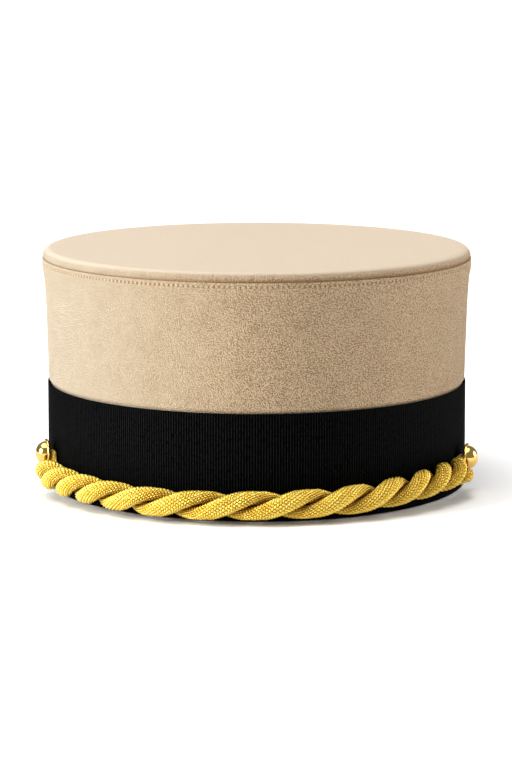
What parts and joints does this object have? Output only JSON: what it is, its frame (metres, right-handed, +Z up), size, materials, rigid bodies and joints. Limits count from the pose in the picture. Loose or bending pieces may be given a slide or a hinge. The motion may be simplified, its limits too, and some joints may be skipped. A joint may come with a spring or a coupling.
{
  "type": "kalpak felt hat",
  "caption": "Drum-shaped felt hat with a flat tip, a wide ribbon round its foot, and a twisted cord across the front held by a domed button at each side.",
  "frame": {"origin": "centre of the bounding box on the surface that the hem rests on", "axes": "+Z up, the hat faces -Y, +X is to the right of a viewer who looks at its front"},
  "size_m": [0.1822, 0.2196, 0.099],
  "materials": {
    "wall_cloth": "matt beige cloth with a fine grain over stiff felt",
    "tip_cloth": "matt beige cloth with a fine grain over stiff felt",
    "black_ribbon": "black ribbed ribbon, slightly silky",
    "gold_cord": "braided gold rayon with a soft metallic sheen",
    "gold_button": "polished gold plate"
  },
  "bodies": {
    "root": {"crown_wall": "wall_cloth", "crown_tip": "tip_cloth", "ribbon_band": "black_ribbon", "cord_strand_a": "gold_cord", "cord_strand_b": "gold_cord", "button_left": "gold_button", "button_right": "gold_button"}
  },
  "joints": []
}
